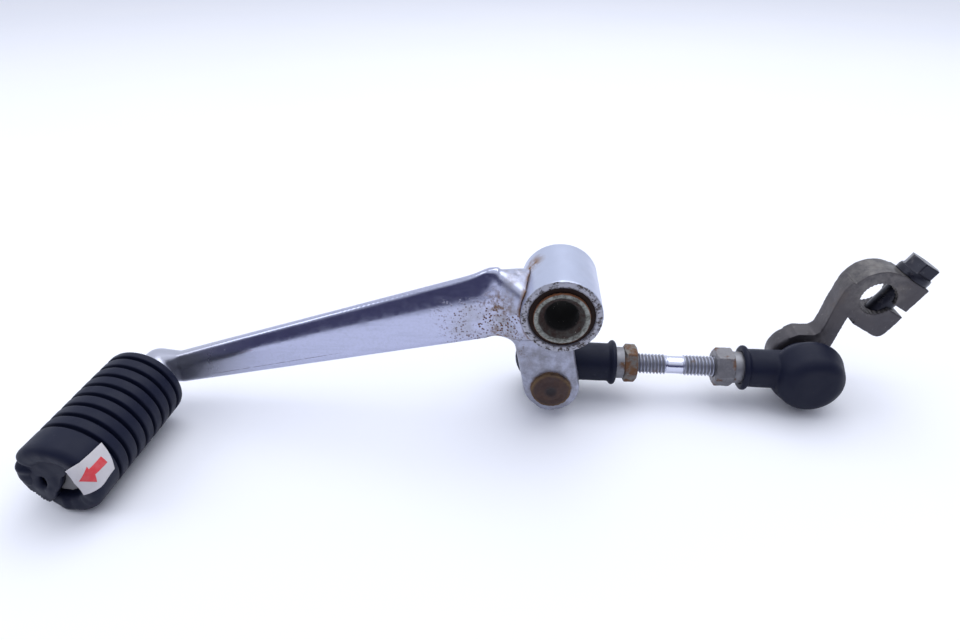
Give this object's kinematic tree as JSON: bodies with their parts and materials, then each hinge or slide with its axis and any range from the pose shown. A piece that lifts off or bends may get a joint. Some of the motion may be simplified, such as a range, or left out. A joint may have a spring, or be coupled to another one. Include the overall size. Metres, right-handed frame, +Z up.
{
  "type": "motorcycle gear shift lever",
  "caption": "Bent foot lever on a pivot tube, joined by an adjustable tie rod with booted ball joints to a split clamp arm for a gear shift shaft.",
  "frame": {"origin": "middle of the pivot collar's bore", "axes": "+X along the tie rod toward the shift shaft, -Y out of the pivot toward the rider's boot, +Z up"},
  "size_m": [0.2356, 0.0767, 0.0481],
  "materials": {
    "chrome": "plated forging, worn and lightly scratched, rust specks at the root",
    "satin_steel": "plated tube, satin with pitted mouth",
    "weld": "plated weld fillet with a rust line",
    "bronze": "oiled sintered bronze",
    "seal_rubber": "black moulded rubber",
    "collar_steel": "ground steel with rust film",
    "toe_rubber": "black ribbed rubber, scuffed",
    "stud_steel": "dark steel, rusted rivet heads",
    "zinc": "zinc plate, bright",
    "nut_steel": "dull zinc with rust blooms",
    "seat_plastic": "white acetal",
    "boot_rubber": "black moulded rubber, dusty",
    "raw_steel": "dark cast steel with a sand-cast skin",
    "black_bolt": "black oxide"
  },
  "bodies": {
    "pivot": {"pivot_collar": "collar_steel"},
    "lever": {"pedal_lever": "chrome", "pivot_tube": "satin_steel", "weld_bead": "weld", "bush_front": "bronze", "bush_rear": "bronze", "dust_seal_front": "seal_rubber", "dust_seal_rear": "seal_rubber", "toe_rubber": "toe_rubber", "ball_stud_a": "stud_steel"},
    "link_rod": {"rod_end_a": "zinc", "ball_seat_a": "seat_plastic", "retainer_a": "zinc", "boot_a": "boot_rubber", "lock_nut_a": "nut_steel", "tie_rod": "zinc", "lock_nut_b": "nut_steel", "rod_end_b": "zinc", "ball_seat_b": "seat_plastic", "retainer_b": "zinc", "boot_b": "boot_rubber"},
    "arm": {"ball_stud_b": "stud_steel", "shaft_arm": "raw_steel", "pinch_bolt": "black_bolt"}
  },
  "joints": [
    {"name": "lever_pivot", "type": "hinge", "parent": "pivot", "child": "lever", "pos_m": [0, 0, 0], "axis": [0, 1, 0], "range_deg": [-25, 25]},
    {"name": "ball_joint_a", "type": "hinge", "parent": "lever", "child": "link_rod", "pos_m": [-0.0012, 0.0085, -0.0266], "axis": [0, 1, 0], "range_deg": [-35, 35]},
    {"name": "ball_joint_b", "type": "hinge", "parent": "link_rod", "child": "arm", "pos_m": [0.073, 0.0085, -0.0266], "axis": [0, 1, 0], "range_deg": [-45, 45]}
  ]
}
